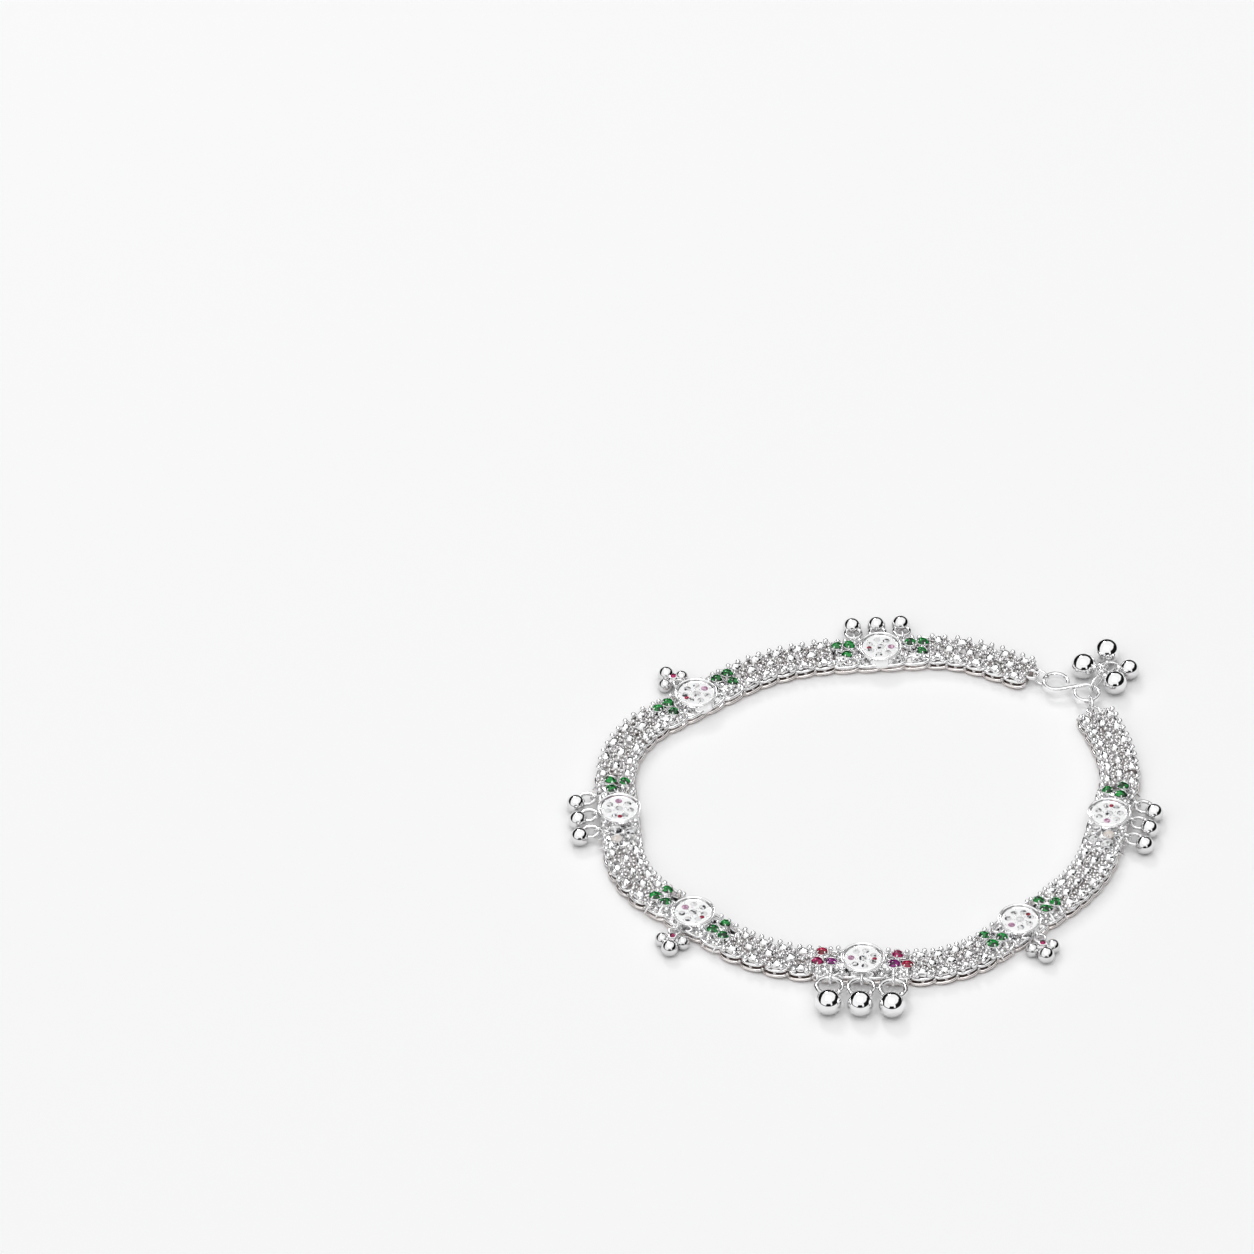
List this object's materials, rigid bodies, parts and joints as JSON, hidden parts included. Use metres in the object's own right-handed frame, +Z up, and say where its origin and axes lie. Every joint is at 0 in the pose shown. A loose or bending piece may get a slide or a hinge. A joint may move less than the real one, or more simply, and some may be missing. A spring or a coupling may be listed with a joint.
{
  "type": "payal anklet",
  "caption": "Closed woven silver anklet with round stone-set stations, small ball bells, trefoil drops and an S-hook clasp.",
  "frame": {"origin": "middle of the loop on the surface that it lies on", "axes": "+Z up from the surface, -Y towards the station with the largest bells, +X and +Y towards the clasp"},
  "size_m": [0.0976, 0.0974, 0.0043],
  "materials": {
    "silver": "polished white silver",
    "clear_stone": "cut and polished",
    "green_stone": "cut and polished",
    "pink_stone": "cut and polished"
  },
  "bodies": {
    "root": {"band_1": "silver", "band_2": "silver", "band_3": "silver", "band_4": "silver", "band_5": "silver", "band_6": "silver", "band_7": "silver", "band_8": "silver", "station_1": "silver", "station_2": "silver", "station_3": "silver", "station_4": "silver", "station_5": "silver", "station_6": "silver", "station_7": "silver", "crystal_1": "clear_stone", "crystal_2": "clear_stone", "crystal_3": "clear_stone", "crystal_4": "clear_stone", "crystal_5": "clear_stone", "crystal_6": "clear_stone", "crystal_7": "clear_stone", "trio_1a": "green_stone", "trio_1b": "clear_stone", "trio_2a": "green_stone", "trio_2b": "green_stone", "trio_3a": "pink_stone", "trio_3b": "pink_stone", "trio_4a": "green_stone", "trio_4b": "green_stone", "trio_5a": "clear_stone", "trio_5b": "green_stone", "trio_6a": "green_stone", "trio_6b": "green_stone", "trio_7a": "green_stone", "trio_7b": "green_stone", "bell_1a": "silver", "bell_1b": "silver", "bell_1c": "silver", "bell_3a": "silver", "bell_3b": "silver", "bell_3c": "silver", "bell_5a": "silver", "bell_5b": "silver", "bell_5c": "silver", "bell_7a": "silver", "bell_7b": "silver", "bell_7c": "silver", "drop_2": "silver", "drop_4": "silver", "drop_6": "silver", "end_ring_1": "silver", "end_ring_2": "silver", "s_hook": "silver", "cluster_link": "silver", "cluster_bell_1": "silver", "cluster_bell_2": "silver", "cluster_bell_3": "silver", "cluster_bell_4": "silver"}
  },
  "joints": []
}
